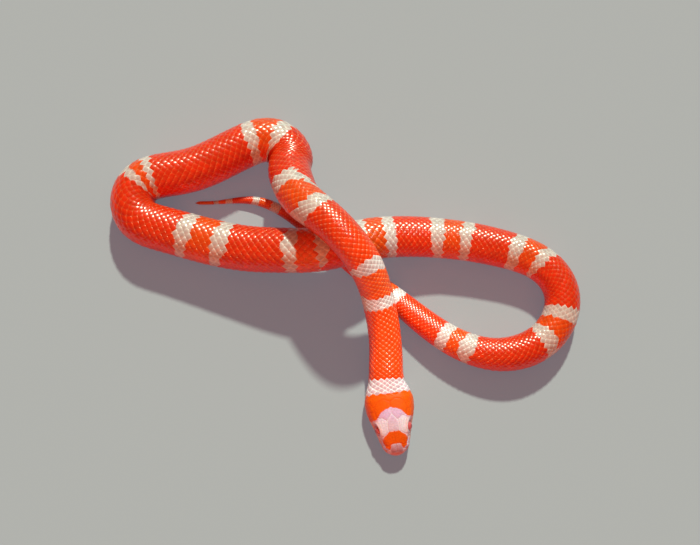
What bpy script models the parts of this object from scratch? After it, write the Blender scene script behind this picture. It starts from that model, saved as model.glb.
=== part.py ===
"""Life-size albino milk snake, a still museum model: it lies on its belly in one long loose knot.

The animal is laid out along one route, from the snout to the tip of the tail. Every section of the
head, body and tail stands square to that route, and the sections are lofted into lengths that meet
face to face. Sizes are in millimetres and are turned to metres as each mesh is made.
"""

import math

import bmesh
import bpy
import numpy as np

MM = 0.001

# Waypoints of the belly line, from the snout to the tail tip: x, y and the clear height under the
# belly. The neck climbs over two other lengths, and the body arches over the tail.
ROUTE = [
    (14.6, -46.6, 0.0), (12.4, -32.4, 0.0), (11.6, -25.8, 0.2), (11.5, -18.8, 1.2),
    (9.5, -6.0, 6.2), (7.5, -0.3, 10.1), (0.6, 9.6, 17.7), (-4.4, 14.7, 16.6),
    (-10.0, 20.0, 11.9), (-13.4, 26.1, 6.3), (-14.7, 31.2, 2.4), (-14.8, 35.6, 0.6),
    (-17.0, 39.6, 0.0), (-21.1, 41.3, 0.0), (-25.5, 40.3, 0.0), (-43.1, 32.2, 0.0),
    (-51.6, 30.6, 0.0), (-56.7, 28.6, 0.0), (-59.0, 23.3, 0.0), (-56.7, 18.0, 0.0),
    (-51.6, 15.8, 0.0), (-25.8, 9.4, 1.8), (-16.0, 8.6, 3.9), (-6.5, 8.6, 5.5),
    (1.7, 10.3, 5.4), (9.9, 12.3, 3.0), (26.7, 12.9, 0.1), (44.7, 9.8, 0.0),
    (57.6, 3.1, 0.0), (60.2, -2.3, 0.0), (56.8, -13.4, 0.0), (44.0, -19.4, 0.0),
    (30.5, -16.0, 0.0), (17.2, -6.3, 0.0), (-6.1, 12.8, 0.0), (-26.6, 24.7, 0.0),
    (-37.1, 24.0, 0.0), (-42.2, 24.0, 0.0),
]
ROUTE_STEP = 0.25
ROUTE_EASE = 5.0
AXIS_REACH = 0.6
HANDS = (("left", -1.0), ("right", 1.0))

# Full width of the body at distances from the snout
GIRTH = [
    (24.0, 9.5), (34.0, 9.0), (46.0, 8.9), (56.0, 9.4), (70.0, 10.2), (87.0, 11.9), (100.0, 12.5),
    (155.0, 12.6), (180.0, 12.9), (204.0, 12.4), (225.0, 11.7), (256.0, 10.9), (280.0, 10.0),
    (303.0, 9.8), (318.0, 8.7), (334.0, 7.6), (350.0, 6.2), (372.0, 4.3), (390.0, 3.0),
    (404.0, 1.3),
]
BODY_ROUND = 0.95
BELLY_FLAT = 0.88

# The head: its width, crown and chin at distances from the snout, and the round of its nose
HEAD_LONG = 21.0
HEAD_WIDE = [
    (0.0, 6.2), (1.5, 6.7), (2.9, 7.4), (4.2, 8.2), (5.6, 9.0), (7.0, 9.9), (9.7, 11.5),
    (12.4, 12.7), (15.0, 13.1), (17.8, 12.1), (20.6, 10.2), (24.0, 9.5), (34.0, 9.0),
]
HEAD_CROWN = [
    (0.0, 4.6), (1.5, 4.9), (4.0, 5.5), (7.4, 6.3), (11.0, 6.9), (15.0, 7.3), (19.0, 7.7),
    (24.0, 8.5), (34.0, 8.1),
]
HEAD_CHIN = [(0.0, 1.1), (1.5, 0.7), (4.0, 0.2), (6.5, 0.0), (34.0, 0.0)]
HEAD_WIDEST = [(0.0, 2.8), (4.0, 3.0), (9.0, 3.2), (15.0, 3.4), (21.0, 3.9), (28.0, 4.1)]
NOSE_ROUND = 2.6
NOSE_HIGH = 2.9
HEAD_BOXY_TOP = 2.35
HEAD_BOXY_CHIN = 2.6
HEAD_FADES_OUT = (17.0, 28.0)
JAW_SET_BACK = 0.7
JAW_SET_BACK_REACH = 5.0
LIP_DEPTH = 0.8

# Swellings of the head: place along it, degrees down from the crown, reach along and round, height
HEAD_SWELLS = [
    (7.2, 48.0, 2.1, 13.0, 0.42),
    (4.4, 66.0, 1.5, 13.0, -0.25),
    (12.8, 96.0, 3.2, 20.0, 0.22),
    (5.5, 97.0, 4.5, 7.0, 0.14),
]

MOUTH_LINE = [(-3.0, 1.9), (0.0, 1.85), (3.0, 1.75), (7.0, 1.85), (11.0, 2.2), (14.2, 2.75)]
MOUTH_GAP = 0.3
MOUTH_STEPS = 24
JAW_BACK_FOOT = 16.0
CUT_REACH = 12.0
CUT_DEPTH = -3.0
NODE_GAP = 0.3

EYE_ALONG = 7.4
EYE_ACROSS = 3.7
EYE_HIGH = 3.95
EYE_RADIUS = 1.45
NOSTRIL_ALONG = 1.6
NOSTRIL_ACROSS = 2.95
NOSTRIL_HIGH = 3.35
NOSTRIL_RADIUS = 0.36

# Where the lengths part, as distances from the snout
LENGTHS = [
    ("neck", 21.0, 57.0), ("body_1", 57.0, 91.0), ("body_2", 91.0, 118.0),
    ("body_3", 118.0, 146.5), ("body_4", 146.5, 172.0), ("body_5", 172.0, 210.0),
    ("body_6", 210.0, 248.0), ("body_7", 248.0, 279.0), ("body_8", 279.0, 309.0),
    ("body_9", 309.0, 346.0), ("tail", 346.0, None),
]
BODY_SIDES = 24
RING_SPACING = 2.3
HEAD_SIDES = 40
HEAD_RINGS = 32
HEAD_RING_CROWDING = 1.4
TAIL_TIP_CAP = 0.25
FLOOR_SNAP = 0.03

RED_ORANGE = (0.86, 0.10, 0.02)
IVORY = (0.90, 0.80, 0.76)
EYE_RED = (0.55, 0.04, 0.06)


def smooth_step(value):
    """0 below 0, 1 above 1, and an even curve between."""
    value = np.clip(value, 0.0, 1.0)
    return value * value * (3.0 - 2.0 * value)


def through(stations, at):
    """A curve through stations of (place, value) that never swings past them, read at places."""
    x, y = np.array(stations, float).T
    at = np.clip(np.asarray(at, float), x[0], x[-1])
    run = np.diff(x)
    slope = np.diff(y) / run
    turn = np.zeros(len(x))
    same_way = slope[:-1] * slope[1:] > 0
    mean = 2.0 * slope[:-1] * slope[1:] / np.where(same_way, slope[:-1] + slope[1:], 1.0)
    turn[1:-1] = np.where(same_way, mean, 0.0)
    turn[0], turn[-1] = slope[0], slope[-1]
    i = np.clip(np.searchsorted(x, at, side="right") - 1, 0, len(run) - 1)
    t = (at - x[i]) / run[i]
    rise = y[i] + (y[i + 1] - y[i]) * t * t * (3.0 - 2.0 * t)
    return rise + run[i] * t * (1.0 - t) * (turn[i] * (1.0 - t) - turn[i + 1] * t)


def spline(knots, values, at):
    """A natural cubic spline through rows of values at knots, read at places."""
    n, gap = len(knots), np.diff(knots)
    system, bend = np.eye(n), np.zeros_like(values)
    for i in range(1, n - 1):
        system[i, i - 1:i + 2] = gap[i - 1], 2.0 * (gap[i - 1] + gap[i]), gap[i]
        bend[i] = 6.0 * ((values[i + 1] - values[i]) / gap[i] - (values[i] - values[i - 1]) / gap[i - 1])
    bend = np.linalg.solve(system, bend)
    i = np.clip(np.searchsorted(knots, at, side="right") - 1, 0, n - 2)
    h = gap[i][:, None]
    b = ((at - knots[i])[:, None]) / h
    a = 1.0 - b
    curve = ((a ** 3 - a) * bend[i] + (b ** 3 - b) * bend[i + 1]) * h * h / 6.0
    return a * values[i] + b * values[i + 1] + curve


def eased(line, reach):
    """The line with its small wobbles averaged out, run straight on past both ends meanwhile."""
    n = int(round(reach / ROUTE_STEP))
    before = line[0] + (line[0] - line[1]) * np.arange(n, 0, -1)[:, None]
    after = line[-1] + (line[-1] - line[-2]) * np.arange(1, n + 1)[:, None]
    weight = np.cos(np.linspace(-1.0, 1.0, 2 * n + 1) * math.pi / 2.0) ** 2
    whole = np.vstack([before, line, after])
    return np.stack([np.convolve(c, weight / weight.sum(), "valid") for c in whole.T], 1)


def belly_line():
    """The route as closely spaced points, and each point's distance from the snout."""
    points = np.array(ROUTE, float)
    chord = np.concatenate([[0.0], np.cumsum(np.linalg.norm(np.diff(points, axis=0), axis=1))])
    line = spline(chord, points, np.arange(0.0, chord[-1], ROUTE_STEP))
    line = eased(line, ROUTE_EASE)
    line[:, 2] = np.maximum(line[:, 2], 0.0)
    distance = np.concatenate([[0.0], np.cumsum(np.linalg.norm(np.diff(line, axis=0), axis=1))])
    return distance, line


DISTANCE, LINE = belly_line()
SNAKE_LONG = DISTANCE[-1]


def on_line(s):
    """Points of the belly line, running straight on past its ends."""
    s = np.asarray(s, float)
    points = np.stack([np.interp(s, DISTANCE, c) for c in LINE.T], -1)
    ahead = (LINE[0] - LINE[4]) / np.linalg.norm(LINE[0] - LINE[4])
    return points + ahead * np.maximum(-s, 0.0)[..., None]


def axes_at(s):
    """Unit vectors to the animal's tail, right and back at each distance."""
    tail = on_line(s + AXIS_REACH) - on_line(s - AXIS_REACH)
    tail /= np.linalg.norm(tail, axis=-1, keepdims=True)
    right = np.cross(np.array([0.0, 0.0, 1.0]), tail)
    right /= np.linalg.norm(right, axis=-1, keepdims=True)
    return tail, right, np.cross(tail, right)


def place(s, across, height):
    """World points, in millimetres, of places given by distance, side and height over the belly."""
    s, across, height = np.broadcast_arrays(np.asarray(s, float), across, height)
    _, right, up = axes_at(s)
    return on_line(s) + right * across[..., None] + up * height[..., None]


def body_section(s, angle):
    """Across and height of the body's skin at a distance and an angle down from the back."""
    half = through(GIRTH, s) / 2.0
    tip = np.sqrt(np.clip((SNAKE_LONG - s) / through(GIRTH, SNAKE_LONG), 0.0, 1.0))
    half = half * tip
    high = half * BODY_ROUND
    level = np.maximum(np.cos(angle), -BELLY_FLAT)
    return half * np.sin(angle), high * (level + BELLY_FLAT)


def head_section(s, angle):
    """Distance, across and height of the head's skin, with the lower jaw set back under the nose."""
    nose = np.sqrt(np.clip(1.0 - (1.0 - np.clip(s / NOSE_ROUND, 0.0, 1.0)) ** 2, 0.0, 1.0))
    half = through(HEAD_WIDE, s) / 2.0 * nose
    crown = NOSE_HIGH + (through(HEAD_CROWN, s) - NOSE_HIGH) * nose
    chin = NOSE_HIGH + (through(HEAD_CHIN, s) - NOSE_HIGH) * nose
    widest = NOSE_HIGH + (through(HEAD_WIDEST, s) - NOSE_HIGH) * nose
    sine, cosine = np.sin(angle), np.cos(angle)
    boxy = np.where(cosine > 0, HEAD_BOXY_TOP, HEAD_BOXY_CHIN)
    size = (np.abs(sine) ** boxy + np.abs(cosine) ** boxy) ** (-1.0 / boxy)
    across = half * size * sine
    height = widest + np.where(cosine > 0, crown - widest, widest - chin) * size * cosine
    for along, degrees, reach, spread, swell in HEAD_SWELLS:
        off_round = (np.degrees(np.abs(angle)) - degrees) / spread
        near = np.exp(-((s - along) / reach) ** 2 - off_round ** 2) * swell * nose
        across = across + near * sine
        height = height + near * cosine
    below = smooth_step((through(MOUTH_LINE, s) - height) / LIP_DEPTH)
    behind = JAW_SET_BACK * below * np.exp(-((s / JAW_SET_BACK_REACH) ** 2))
    return s + behind, across, height


def section(s, angle):
    """The head's section, easing into the body's round one over the neck."""
    along, head_across, head_height = head_section(s, angle)
    body_across, body_height = body_section(s, angle)
    start, end = HEAD_FADES_OUT
    body = smooth_step((s - start) / (end - start))
    across = head_across + (body_across - head_across) * body
    height = head_height + (body_height - head_height) * body
    return along, across, height


def ring_points(s, sides):
    """One ring of the skin, with whatever nearly meets the floor laid flat on it."""
    angle = (np.arange(sides) + 0.5) * 2.0 * math.pi / sides
    points = place(*section(np.full(sides, s), angle))
    points[points[:, 2] < FLOOR_SNAP, 2] = 0.0
    return points


def material(name, colour, roughness):
    made = bpy.data.materials.new(name)
    made.use_nodes = True
    shader = made.node_tree.nodes["Principled BSDF"]
    shader.inputs["Base Color"].default_value = (*colour, 1.0)
    shader.inputs["Roughness"].default_value = roughness
    shader.inputs["Metallic"].default_value = 0.0
    return made


def add_object(name, mesh, finish, collection):
    obj = bpy.data.objects.new(name, mesh)
    mesh.materials.append(finish)
    mesh.shade_smooth()
    mesh.set_sharp_from_angle(angle=math.radians(38.0))
    collection.objects.link(obj)
    return obj


def to_mesh(name, bm):
    """The finished mesh in metres, with its faces pointing out."""
    bm.normal_update()
    bmesh.ops.recalc_face_normals(bm, faces=bm.faces)
    bmesh.ops.scale(bm, vec=(MM, MM, MM), verts=bm.verts)
    mesh = bpy.data.meshes.new(name)
    bm.to_mesh(mesh)
    bm.free()
    return mesh


def loft(name, rings, nose=None):
    """A closed mesh through rings of points, flat at its ends or drawn to a nose at the first."""
    bm = bmesh.new()
    loops = [[bm.verts.new(p) for p in ring] for ring in rings]
    sides = len(loops[0])
    for first, second in zip(loops, loops[1:]):
        for i in range(sides):
            j = (i + 1) % sides
            bm.faces.new((first[i], first[j], second[j], second[i]))
    if nose is None:
        bm.faces.new(loops[0][::-1])
    else:
        tip = bm.verts.new(nose)
        for i in range(sides):
            bm.faces.new((tip, loops[0][(i + 1) % sides], loops[0][i]))
    bm.faces.new(loops[-1])
    return to_mesh(name, bm)


def body_length(name, start, end):
    """One length of the neck, body or tail, with half of the parting gap left at each end."""
    start += NODE_GAP / 2.0
    end = SNAKE_LONG - TAIL_TIP_CAP if end is None else end - NODE_GAP / 2.0
    count = max(4, int(round((end - start) / RING_SPACING)) + 1)
    return loft(name, [ring_points(s, BODY_SIDES) for s in np.linspace(start, end, count)])


def whole_head():
    """The head as one closed body, with its rings set closer towards the nose."""
    share = np.linspace(0.0, 1.0, HEAD_RINGS + 1)[1:]
    last = HEAD_LONG - NODE_GAP / 2.0
    rings = [ring_points(s, HEAD_SIDES) for s in last * share ** HEAD_RING_CROWDING]
    return loft("head", rings, place(0.0, 0.0, NOSE_HIGH))


def mouth_cutter():
    """A thin bent sheet that follows the line of the mouth, then drops through the throat."""
    along = np.linspace(MOUTH_LINE[0][0], MOUTH_LINE[-1][0], MOUTH_STEPS)
    line = through(MOUTH_LINE, along)
    upper = list(zip(along, line + MOUTH_GAP / 2.0))
    lower = list(zip(along, line - MOUTH_GAP / 2.0))
    corner_s, corner_h = upper[-1]
    outline = upper + [(corner_s + MOUTH_GAP, corner_h), (JAW_BACK_FOOT + MOUTH_GAP, CUT_DEPTH)]
    outline += [(JAW_BACK_FOOT, CUT_DEPTH)] + lower[::-1]
    s, height = np.array(outline).T
    sides = [place(s, np.full(len(s), across), height) for across in (-CUT_REACH, CUT_REACH)]
    return loft("mouth_cutter", sides)


def ball(name, centre, radius, segments, rings, stretch=(1.0, 1.0, 1.0)):
    """A round body at a place on the head, stretched along, across and up."""
    bm = bmesh.new()
    bmesh.ops.create_uvsphere(bm, u_segments=segments, v_segments=rings, radius=1.0)
    tail, right, up = axes_at(np.array(centre[0]))
    middle = place(*centre)
    for vert in bm.verts:
        x, y, z = (c * radius * k for c, k in zip(vert.co, stretch))
        vert.co = middle + tail * x + right * y + up * z
    return to_mesh(name, bm)


def as_cutter(name, mesh, collection):
    cutter = bpy.data.objects.new(name, mesh)
    cutter.hide_render = True
    cutter.display_type = "WIRE"
    collection.objects.link(cutter)
    return cutter


def cut(obj, cutter):
    """Cuts one object from another at once, so that the pieces can be told apart afterwards."""
    modifier = obj.modifiers.new("cut", "BOOLEAN")
    modifier.operation = "DIFFERENCE"
    modifier.solver = "EXACT"
    modifier.object = cutter
    graph = bpy.context.evaluated_depsgraph_get()
    mesh = bpy.data.meshes.new_from_object(obj.evaluated_get(graph))
    obj.modifiers.clear()
    obj.data = mesh
    bpy.data.objects.remove(cutter)


def loose_pieces(mesh):
    """The mesh's separate closed surfaces as bmeshes, the largest first."""
    bm = bmesh.new()
    bm.from_mesh(mesh)
    left, groups = set(bm.verts), []
    while left:
        group, edge = set(), [left.pop()]
        while edge:
            vert = edge.pop()
            group.add(vert)
            for link in vert.link_edges:
                other = link.other_vert(vert)
                if other in left:
                    left.discard(other)
                    edge.append(other)
        groups.append({v.index for v in group})
    bm.free()
    pieces = []
    for group in sorted(groups, key=len, reverse=True):
        piece = bmesh.new()
        piece.from_mesh(mesh)
        piece.verts.ensure_lookup_table()
        bmesh.ops.delete(piece, geom=[v for v in piece.verts if v.index not in group], context="VERTS")
        pieces.append(piece)
    return pieces


def mean_height(bm):
    return sum(vert.co.z for vert in bm.verts) / len(bm.verts)


def build_head(skin, collection, cutters):
    """The head with its sockets and nostrils, and the lower jaw parted from it along the mouth."""
    head = add_object("head", whole_head(), skin, collection)
    bpy.context.view_layer.update()
    for side, hand in HANDS:
        centre = (EYE_ALONG, hand * EYE_ACROSS, EYE_HIGH)
        socket = ball("socket_" + side, centre, EYE_RADIUS + NODE_GAP, 20, 12)
        cut(head, as_cutter("socket_" + side, socket, cutters))
        nostril_at = (NOSTRIL_ALONG, hand * NOSTRIL_ACROSS, NOSTRIL_HIGH)
        nostril = ball("nostril_" + side, nostril_at, NOSTRIL_RADIUS, 10, 6, (1.1, 1.4, 0.85))
        cut(head, as_cutter("nostril_" + side, nostril, cutters))
    cut(head, as_cutter("mouth_cutter", mouth_cutter(), cutters))
    lower, upper = sorted(loose_pieces(head.data)[:2], key=mean_height)
    jaw_mesh = bpy.data.meshes.new("lower_jaw")
    lower.to_mesh(jaw_mesh)
    upper.to_mesh(head.data)
    upper.free()
    lower.free()
    add_object("lower_jaw", jaw_mesh, skin, collection)


def build_eyes(finish, collection):
    for side, hand in HANDS:
        centre = (EYE_ALONG, hand * EYE_ACROSS, EYE_HIGH)
        add_object("eye_" + side, ball("eye_" + side, centre, EYE_RADIUS, 20, 12), finish, collection)


def main():
    for obj in list(bpy.data.objects):
        bpy.data.objects.remove(obj)
    snake = bpy.data.collections.new("milk_snake")
    cutters = bpy.data.collections.new("cutters")
    for collection in (snake, cutters):
        bpy.context.scene.collection.children.link(collection)
    red = material("red_orange_skin", RED_ORANGE, 0.35)
    ivory = material("ivory_skin", IVORY, 0.35)
    eye = material("albino_eye", EYE_RED, 0.08)
    build_head(ivory, snake, cutters)
    build_eyes(eye, snake)
    for name, start, end in LENGTHS:
        add_object(name, body_length(name, start, end), red, snake)


main()
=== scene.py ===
import math

import bpy
import numpy as np
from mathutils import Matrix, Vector
from mathutils.kdtree import KDTree
from numpy.linalg import norm


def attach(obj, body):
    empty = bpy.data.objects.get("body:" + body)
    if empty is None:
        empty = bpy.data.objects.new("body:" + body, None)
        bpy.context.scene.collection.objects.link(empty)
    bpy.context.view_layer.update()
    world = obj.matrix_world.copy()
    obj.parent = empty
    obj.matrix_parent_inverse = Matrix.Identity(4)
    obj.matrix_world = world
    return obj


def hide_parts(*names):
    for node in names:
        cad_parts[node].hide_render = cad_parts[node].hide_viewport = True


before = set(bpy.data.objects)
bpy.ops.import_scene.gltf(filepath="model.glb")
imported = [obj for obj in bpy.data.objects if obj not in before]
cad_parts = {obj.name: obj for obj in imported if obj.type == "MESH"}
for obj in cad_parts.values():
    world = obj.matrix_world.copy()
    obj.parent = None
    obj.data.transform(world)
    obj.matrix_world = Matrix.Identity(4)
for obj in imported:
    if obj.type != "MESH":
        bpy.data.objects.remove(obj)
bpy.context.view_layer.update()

# The camera. It stands almost straight above the snake and a little towards its head, and its
# framing is the photograph's, 700 by 545.
CAMERA_AT = (0.00175, -0.04909, 0.30144)
CAMERA_TILT = math.radians(10.0)
camera_lens = bpy.data.cameras.new("camera")
camera_lens.lens = 56.1
camera_lens.sensor_width = 36.0
camera_lens.clip_start = 0.01
camera_lens.clip_end = 20.0


def add_object(name, data):
    """An object with its own data, put in the scene."""
    added = bpy.data.objects.new(name, data)
    bpy.context.scene.collection.objects.link(added)
    return added


camera = add_object("camera", camera_lens)
camera.location = CAMERA_AT
camera.rotation_euler = (CAMERA_TILT, 0.0, 0.0)
bpy.context.scene.camera = camera
bpy.context.scene.view_settings.view_transform = "Standard"

# The floor and the light. The floor is one plain pale sheet. A small bright lamp stands beyond the
# snake, as the sun does in the photograph, and a wide warm one fills the animal's shaded side. A far
# weaker one lights the head and neck. The floor glows a little, which keeps the shadows on it soft.
FLOOR_HALF = 12.0
FLOOR_AT = -0.00005


def set_inputs(node, values):
    """Gives inputs of a node, by name or number, their values."""
    for socket, value in values.items():
        node.inputs[socket].default_value = value


floor_mesh = bpy.data.meshes.new("floor")
floor_corners = [(-1, -1), (1, -1), (1, 1), (-1, 1)]
floor_corners = [(x * FLOOR_HALF, y * FLOOR_HALF, FLOOR_AT) for x, y in floor_corners]
floor_mesh.from_pydata(floor_corners, [], [(0, 1, 2, 3)])
floor = add_object("floor", floor_mesh)
floor_paint = bpy.data.materials.new("pale floor")
floor_paint.use_nodes = True
set_inputs(floor_paint.node_tree.nodes["Principled BSDF"], {
    "Base Color": (0.43, 0.40, 0.44, 1.0), "Roughness": 0.9, "Specular IOR Level": 0.0,
    "Emission Color": (0.60, 0.82, 1.0, 1.0), "Emission Strength": 0.145,
})
floor_mesh.materials.append(floor_paint)

LAMP_STANDS_OFF = 0.8
HEAD_AND_NECK = (0.0110, -0.014, 0.006)


def lamp(kind, name, towards, power, colour, aim=(0.0, 0.0, 0.0)):
    """A lamp that stands off from its aim in a direction and faces it."""
    light = bpy.data.lights.new(name, kind)
    light.energy = power
    light.color = colour
    stand = add_object(name, light)
    way = Vector(towards).normalized()
    stand.location = Vector(aim) + way * LAMP_STANDS_OFF
    stand.rotation_mode = "QUATERNION"
    stand.rotation_quaternion = way.to_track_quat("Z", "Y")
    return stand


key_lamp = lamp("SUN", "key lamp", (0.12, 0.79, 0.60), 3.75, (0.79, 1.0, 0.78))
key_lamp.data.angle = math.radians(3.0)
fill_lamp = lamp("SUN", "fill lamp", (-0.25, -0.70, 0.67), 1.25, (1.0, 0.15, 0.03))
fill_lamp.data.angle = math.radians(50.0)
head_lamp = lamp("AREA", "head lamp", (0.25, 0.35, 0.90), 0.0036, (0.84, 1.0, 0.92), HEAD_AND_NECK)
head_lamp.data.shape = "DISK"
head_lamp.data.size = 0.02
head_lamp.data.spread = math.radians(4.0)

not_the_floor = bpy.data.collections.new("all but the floor")
not_the_floor.objects.link(floor)
not_the_floor.collection_objects[0].light_linking.link_state = "EXCLUDE"
head_lamp.light_linking.receiver_collection = not_the_floor
fill_lamp.light_linking.receiver_collection = not_the_floor

room = bpy.data.worlds.new("room")
room.use_nodes = True
room_nodes, room_links = room.node_tree.nodes, room.node_tree.links
set_inputs(room_nodes["Background"], {"Color": (1.0, 0.40, 0.24, 1.0), "Strength": 0.26})
far_wall = room_nodes.new("ShaderNodeBackground")
set_inputs(far_wall, {"Color": (0.50, 0.50, 0.49, 1.0)})
seen = room_nodes.new("ShaderNodeLightPath")
either = room_nodes.new("ShaderNodeMixShader")
room_links.new(seen.outputs["Is Camera Ray"], either.inputs["Fac"])
room_links.new(room_nodes["Background"].outputs["Background"], either.inputs[1])
room_links.new(far_wall.outputs["Background"], either.inputs[2])
room_links.new(either.outputs["Shader"], room_nodes["World Output"].inputs["Surface"])
bpy.context.scene.world = room

# The snake's form. The whole animal follows one line under its belly, from the snout to the tip of
# the tail, and every section of it stands square to that line. All sizes are in millimetres.
MM = 0.001
BELLY_LINE = [
    (14.6, -46.6, 0.0), (12.4, -32.4, 0.0), (11.6, -25.8, 0.2), (11.5, -18.8, 1.2),
    (9.5, -6.0, 6.2), (7.5, -0.3, 10.1), (0.6, 9.6, 17.7), (-4.4, 14.7, 16.6),
    (-10.0, 20.0, 11.9), (-13.4, 26.1, 6.3), (-14.7, 31.2, 2.4), (-14.8, 35.6, 0.6),
    (-17.0, 39.6, 0.0), (-21.1, 41.3, 0.0), (-25.5, 40.3, 0.0), (-43.1, 32.2, 0.0),
    (-51.6, 30.6, 0.0), (-56.7, 28.6, 0.0), (-59.0, 23.3, 0.0), (-56.7, 18.0, 0.0),
    (-51.6, 15.8, 0.0), (-25.8, 9.4, 1.8), (-16.0, 8.6, 3.9), (-6.5, 8.6, 5.5),
    (1.7, 10.3, 5.4), (9.9, 12.3, 3.0), (26.7, 12.9, 0.1), (44.7, 9.8, 0.0),
    (57.6, 3.1, 0.0), (60.2, -2.3, 0.0), (56.8, -13.4, 0.0), (44.0, -19.4, 0.0),
    (30.5, -16.0, 0.0), (17.2, -6.3, 0.0), (-6.1, 12.8, 0.0), (-26.6, 24.7, 0.0),
    (-37.1, 24.0, 0.0), (-42.2, 24.0, 0.0),
]
LINE_STEP = 0.25
LINE_EASE = 5.0
GIRTH = [
    (24.0, 9.5), (34.0, 9.0), (46.0, 8.9), (56.0, 9.4), (70.0, 10.2), (87.0, 11.9), (100.0, 12.5),
    (155.0, 12.6), (180.0, 12.9), (204.0, 12.4), (225.0, 11.7), (256.0, 10.9), (280.0, 10.0),
    (303.0, 9.8), (318.0, 8.7), (334.0, 7.6), (350.0, 6.2), (372.0, 4.3), (390.0, 3.0),
    (404.0, 1.3),
]
BODY_ROUND = 0.95
BELLY_FLAT = 0.88
HEAD_WIDE = [
    (0.0, 6.2), (1.5, 6.7), (2.9, 7.4), (4.2, 8.2), (5.6, 9.0), (7.0, 9.9), (9.7, 11.5),
    (12.4, 12.7), (15.0, 13.1), (17.8, 12.1), (20.6, 10.2), (24.0, 9.5), (34.0, 9.0),
]
HEAD_CROWN = [
    (0.0, 4.6), (1.5, 4.9), (4.0, 5.5), (7.4, 6.3), (11.0, 6.9), (15.0, 7.3), (19.0, 7.7),
    (24.0, 8.5), (34.0, 8.1),
]
HEAD_CHIN = [(0.0, 1.1), (1.5, 0.7), (4.0, 0.2), (6.5, 0.0), (34.0, 0.0)]
HEAD_WIDEST = [(0.0, 2.8), (4.0, 3.0), (9.0, 3.2), (15.0, 3.4), (21.0, 3.9), (28.0, 4.1)]
NOSE_ROUND = 2.6
NOSE_HIGH = 2.9
HEAD_BOXY_TOP = 2.35
HEAD_BOXY_CHIN = 2.6
HEAD_SWELLS = [
    (7.2, 48.0, 2.1, 13.0, 0.42),
    (4.4, 66.0, 1.5, 13.0, -0.25),
    (12.8, 96.0, 3.2, 20.0, 0.22),
    (5.5, 97.0, 4.5, 7.0, 0.14),
]
MOUTH_LINE = [(-3.0, 1.9), (0.0, 1.85), (3.0, 1.75), (7.0, 1.85), (11.0, 2.2), (14.2, 2.75)]


def smooth_step(value):
    """0 below 0, 1 above 1, and an even curve between."""
    value = np.clip(value, 0.0, 1.0)
    return value * value * (3.0 - 2.0 * value)


def through(stations, at):
    """A curve through stations of (place, value) that never swings past them, read at places."""
    x, y = np.array(stations, float).T
    at = np.clip(np.asarray(at, float), x[0], x[-1])
    run = np.diff(x)
    slope = np.diff(y) / run
    turn = np.zeros(len(x))
    same_way = slope[:-1] * slope[1:] > 0
    mean = 2.0 * slope[:-1] * slope[1:] / np.where(same_way, slope[:-1] + slope[1:], 1.0)
    turn[1:-1] = np.where(same_way, mean, 0.0)
    turn[0], turn[-1] = slope[0], slope[-1]
    i = np.clip(np.searchsorted(x, at, side="right") - 1, 0, len(run) - 1)
    t = (at - x[i]) / run[i]
    rise = y[i] + (y[i + 1] - y[i]) * t * t * (3.0 - 2.0 * t)
    return rise + run[i] * t * (1.0 - t) * (turn[i] * (1.0 - t) - turn[i + 1] * t)


def spline(knots, values, at):
    """A natural cubic spline through rows of values at knots, read at places."""
    n, gap = len(knots), np.diff(knots)
    system, bend = np.eye(n), np.zeros_like(values)
    for i in range(1, n - 1):
        system[i, i - 1:i + 2] = gap[i - 1], 2.0 * (gap[i - 1] + gap[i]), gap[i]
        bend[i] = 6.0 * ((values[i + 1] - values[i]) / gap[i] - (values[i] - values[i - 1]) / gap[i - 1])
    bend = np.linalg.solve(system, bend)
    i = np.clip(np.searchsorted(knots, at, side="right") - 1, 0, n - 2)
    h = gap[i][:, None]
    b = ((at - knots[i])[:, None]) / h
    a = 1.0 - b
    curve = ((a ** 3 - a) * bend[i] + (b ** 3 - b) * bend[i + 1]) * h * h / 6.0
    return a * values[i] + b * values[i + 1] + curve


def eased(line, reach):
    """The line with its small wobbles averaged out, run straight on past both ends meanwhile."""
    n = int(round(reach / LINE_STEP))
    before = line[0] + (line[0] - line[1]) * np.arange(n, 0, -1)[:, None]
    after = line[-1] + (line[-1] - line[-2]) * np.arange(1, n + 1)[:, None]
    weight = np.cos(np.linspace(-1.0, 1.0, 2 * n + 1) * math.pi / 2.0) ** 2
    whole = np.vstack([before, line, after])
    return np.stack([np.convolve(c, weight / weight.sum(), "valid") for c in whole.T], 1)


way_points = np.array(BELLY_LINE, float)
chord = np.concatenate([[0.0], np.cumsum(norm(np.diff(way_points, axis=0), axis=1))])
belly = eased(spline(chord, way_points, np.arange(0.0, chord[-1], LINE_STEP)), LINE_EASE)
belly[:, 2] = np.maximum(belly[:, 2], 0.0)
belly_at = np.concatenate([[0.0], np.cumsum(norm(np.diff(belly, axis=0), axis=1))])
SNAKE_LONG = belly_at[-1]


def on_line(s):
    """Points of the belly line, running straight on past its front end."""
    s = np.asarray(s, float)
    points = np.stack([np.interp(s, belly_at, c) for c in belly.T], -1)
    ahead = (belly[0] - belly[4]) / norm(belly[0] - belly[4])
    return points + ahead * np.maximum(-s, 0.0)[..., None]


def axes_at(s):
    """Unit vectors to the animal's tail, right and back at each distance."""
    tail = on_line(s + 0.6) - on_line(s - 0.6)
    tail /= norm(tail, axis=-1, keepdims=True)
    right = np.cross(np.array([0.0, 0.0, 1.0]), tail)
    right /= norm(right, axis=-1, keepdims=True)
    return tail, right, np.cross(tail, right)


def from_back(angle):
    """How far round from the mid back an angle is, 0 to 180 degrees on either side."""
    return np.degrees(np.abs((angle + math.pi) % (2.0 * math.pi) - math.pi))


def place(s, across, height):
    """World points of places given by distance, side and height over the belly."""
    s, across, height = np.broadcast_arrays(np.asarray(s, float), across, height)
    _, right, up = axes_at(s)
    return on_line(s) + right * across[..., None] + up * height[..., None]


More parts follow.
